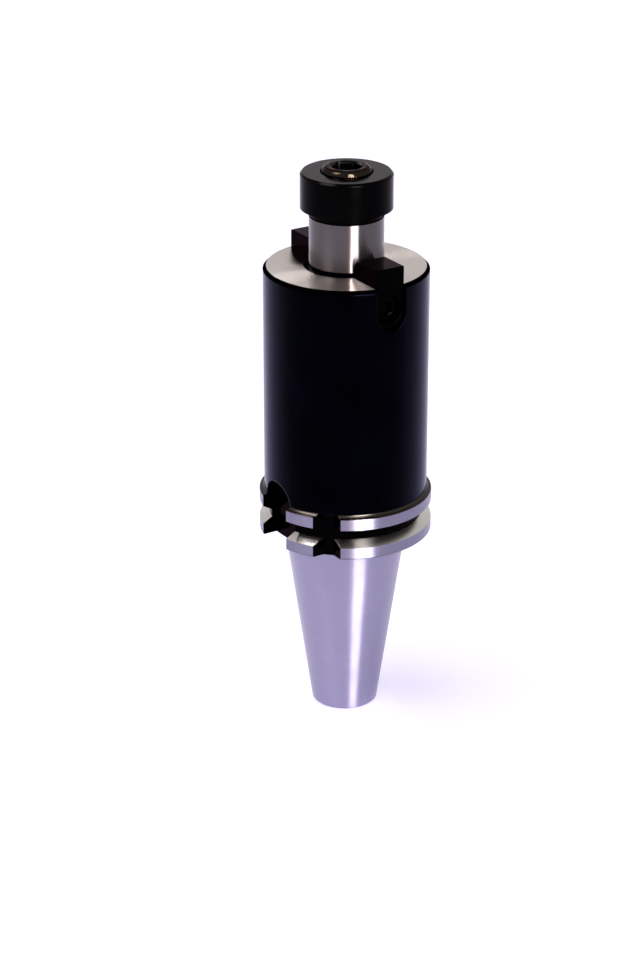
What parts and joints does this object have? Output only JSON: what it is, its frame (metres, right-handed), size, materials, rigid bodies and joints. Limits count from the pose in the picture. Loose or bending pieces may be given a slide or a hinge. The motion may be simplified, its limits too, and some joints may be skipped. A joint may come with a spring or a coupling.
{
  "type": "face mill arbor",
  "caption": "Machine tool holder with a tapered shank, grooved flange, black cylindrical body and keyed pilot nose closed by a cap and socket screw.",
  "frame": {"origin": "centre of the taper's gauge plane, where the cone measures 44.45 mm across, on the axis of rotation", "axes": "+Z along the axis towards the nose and cap, -Y through the front drive key, -X through the shallow drive slot of the flange"},
  "size_m": [0.0614, 0.0636, 0.2101],
  "materials": {
    "arbor_steel": "ground taper, rings, face and pilot; the rest blackened",
    "key_steel": "blackened",
    "cap_steel": "blackened, satin",
    "screw_steel": "blackened, semi-gloss"
  },
  "bodies": {
    "arbor": {"arbor_body": "arbor_steel", "drive_key_front": "key_steel", "drive_key_rear": "key_steel", "key_screw_front": "screw_steel", "key_screw_rear": "screw_steel"},
    "cap": {"clamping_cap": "cap_steel"},
    "screw": {"clamping_screw": "screw_steel"}
  },
  "joints": [
    {"name": "cap_lift", "type": "slide", "parent": "arbor", "child": "cap", "axis": [0, 0, 1], "range_m": [0, 0.0245]},
    {"name": "screw_turn", "type": "hinge", "parent": "cap", "child": "screw", "pos_m": [0, 0, 0.141], "axis": [0, 0, 1], "range_deg": [0, 5040]}
  ],
  "couplings": [
    {"joint": "screw_turn", "follows": "cap_lift", "rad_per_m": 3590.4}
  ]
}
